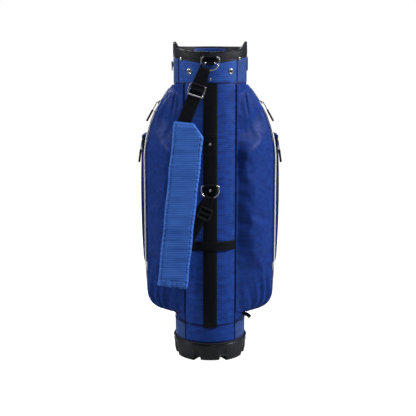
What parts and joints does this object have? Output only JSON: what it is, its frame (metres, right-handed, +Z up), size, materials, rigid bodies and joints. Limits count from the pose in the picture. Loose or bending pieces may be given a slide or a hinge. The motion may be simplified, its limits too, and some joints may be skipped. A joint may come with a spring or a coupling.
{
  "type": "golf bag",
  "caption": "Upright golf cart bag: ribbed tube with bulging side pockets, white piping, padded shoulder strap on rings, divided club mouth and moulded base.",
  "frame": {"origin": "centre of the flat boss under the base, on the floor, on the tube's axis", "axes": "+Z up along the tube's axis; -Y is the spine side with the shoulder strap; +Y is the front with the ball pocket; +X is to the right as seen from the spine side"},
  "size_m": [0.4252, 0.298, 0.925],
  "materials": {
    "ribbed_blue": "blue woven polyester with fine horizontal ribs, semi-matt",
    "smooth_blue": "blue smooth coated nylon, softly shiny, wrinkled",
    "webbing_black": "black woven webbing and binding tape, matt",
    "moulded_black": "black moulded plastic and rubber, satin",
    "liner_grey": "dark grey sheet plastic, satin",
    "piping_white": "white smooth piping",
    "bright_metal": "bright nickel-plated steel wire and pressings"
  },
  "bodies": {
    "bag": {"base_cup": "moulded_black", "base_binding": "webbing_black", "inner_shell": "liner_grey", "body_cover": "ribbed_blue", "skirt_cover": "ribbed_blue", "top_cuff_shell": "liner_grey", "cuff_cover": "ribbed_blue", "rim_binding": "webbing_black", "divider_top": "webbing_black", "divider_sheet_cross": "smooth_blue", "divider_sheet_front": "smooth_blue", "divider_sheet_back_left": "smooth_blue", "divider_sheet_back_right": "smooth_blue", "spine_webbing": "webbing_black", "keeper_band": "webbing_black", "upper_ring_tab": "webbing_black", "lower_ring_tab": "webbing_black", "tab_rivet_left": "bright_metal", "tab_rivet_right": "bright_metal", "cuff_rivet": "bright_metal", "eyelet_left": "bright_metal", "eyelet_right": "bright_metal", "stud_left": "bright_metal", "stud_right": "bright_metal", "side_pocket_left": "smooth_blue", "side_pocket_right": "smooth_blue", "accessory_pocket_left": "smooth_blue", "accessory_pocket_right": "smooth_blue", "pocket_piping_left": "piping_white", "pocket_piping_right": "piping_white", "ball_pocket": "smooth_blue", "valuables_pocket": "smooth_blue", "towel_ring_tab": "webbing_black", "lift_handle": "moulded_black", "zip_track_side_left": "webbing_black", "zip_track_side_right": "webbing_black", "zip_track_accessory_left": "webbing_black", "zip_track_accessory_right": "webbing_black", "zip_track_ball": "webbing_black"},
    "strap": {"upper_d_ring": "bright_metal", "strap_upper_web": "webbing_black", "strap_slide": "bright_metal", "strap_pad": "ribbed_blue"},
    "strap_tail": {"lower_d_ring": "bright_metal", "strap_lower_web": "webbing_black", "strap_buckle": "moulded_black"},
    "towel_loop": {"towel_ring": "bright_metal"},
    "flap": {"valuables_flap": "ribbed_blue"},
    "slider_side_left": {"zip_slider_side_left": "moulded_black"},
    "pull_side_left": {"zip_pull_side_left": "moulded_black"},
    "slider_side_right": {"zip_slider_side_right": "moulded_black"},
    "pull_side_right": {"zip_pull_side_right": "moulded_black"},
    "slider_accessory_left": {"zip_slider_accessory_left": "moulded_black"},
    "pull_accessory_left": {"zip_pull_accessory_left": "moulded_black"},
    "slider_accessory_right": {"zip_slider_accessory_right": "moulded_black"},
    "pull_accessory_right": {"zip_pull_accessory_right": "moulded_black"},
    "slider_accessory_right_second": {"zip_slider_accessory_right_second": "moulded_black"},
    "pull_accessory_right_second": {"zip_pull_accessory_right_second": "moulded_black"},
    "slider_ball": {"zip_slider_ball": "moulded_black"},
    "pull_ball": {"zip_pull_ball": "moulded_black"}
  },
  "joints": [
    {"name": "strap_swing", "type": "hinge", "parent": "bag", "child": "strap", "pos_m": [0, -0.11115, 0.878], "axis": [-1, 0, 0], "range_deg": [0, 10]},
    {"name": "strap_tail_swing", "type": "hinge", "parent": "bag", "child": "strap_tail", "pos_m": [0, -0.11195, 0.522], "axis": [-1, 0, 0], "range_deg": [0, 22.5]},
    {"name": "towel_ring_swing", "type": "hinge", "parent": "bag", "child": "towel_loop", "pos_m": [-0.1094, 0, 0.866], "axis": [0, 1, 0], "range_deg": [0, 90]},
    {"name": "valuables_flap_hinge", "type": "hinge", "parent": "bag", "child": "flap", "pos_m": [0, 0.1384, 0.654], "axis": [1, 0, 0], "range_deg": [0, 100]},
    {"name": "zip_slider_side_left_run", "type": "hinge", "parent": "bag", "child": "slider_side_left", "pos_m": [0.1614, 0.0075, 0.58], "axis": [0, -1, 0], "range_deg": [-6, 25]},
    {"name": "zip_pull_side_left_flip", "type": "hinge", "parent": "slider_side_left", "child": "pull_side_left", "pos_m": [-0.15464, 0.0075, 0.75241], "axis": [0, 1, 0], "range_deg": [0, 120]},
    {"name": "zip_slider_side_right_run", "type": "hinge", "parent": "bag", "child": "slider_side_right", "pos_m": [-0.1614, 0.0075, 0.58], "axis": [0, 1, 0], "range_deg": [-6, 25]},
    {"name": "zip_pull_side_right_flip", "type": "hinge", "parent": "slider_side_right", "child": "pull_side_right", "pos_m": [0.15464, 0.0075, 0.75241], "axis": [0, -1, 0], "range_deg": [0, 120]},
    {"name": "zip_slider_accessory_left_run", "type": "slide", "parent": "bag", "child": "slider_accessory_left", "axis": [0, 0, -1], "range_m": [0, 0.33]},
    {"name": "zip_pull_accessory_left_flip", "type": "hinge", "parent": "slider_accessory_left", "child": "pull_accessory_left", "pos_m": [-0.201, 0.0157, 0.638], "axis": [-1, 0, 0], "range_deg": [0, 120]},
    {"name": "zip_slider_accessory_right_run", "type": "slide", "parent": "bag", "child": "slider_accessory_right", "axis": [0, 0, -1], "range_m": [0, 0.01]},
    {"name": "zip_pull_accessory_right_flip", "type": "hinge", "parent": "slider_accessory_right", "child": "pull_accessory_right", "pos_m": [0.201, 0.0157, 0.638], "axis": [-1, 0, 0], "range_deg": [0, 120]},
    {"name": "zip_slider_accessory_right_second_run", "type": "slide", "parent": "bag", "child": "slider_accessory_right_second", "axis": [0, 0, -1], "range_m": [0, 0.3]},
    {"name": "zip_pull_accessory_right_second_flip", "type": "hinge", "parent": "slider_accessory_right_second", "child": "pull_accessory_right_second", "pos_m": [0.1985, 0.0157, 0.61], "axis": [-1, 0, 0], "range_deg": [0, 120]},
    {"name": "zip_slider_ball_run", "type": "slide", "parent": "bag", "child": "slider_ball", "axis": [1, 0, 0], "range_m": [0, 0.096]},
    {"name": "zip_pull_ball_flip", "type": "hinge", "parent": "slider_ball", "child": "pull_ball", "pos_m": [-0.048, 0.1663, 0.325], "axis": [1, 0, 0], "range_deg": [0, 120]}
  ],
  "couplings": [
    {"joint": "strap_tail_swing", "follows": "strap_swing", "ratio": 2.2}
  ]
}
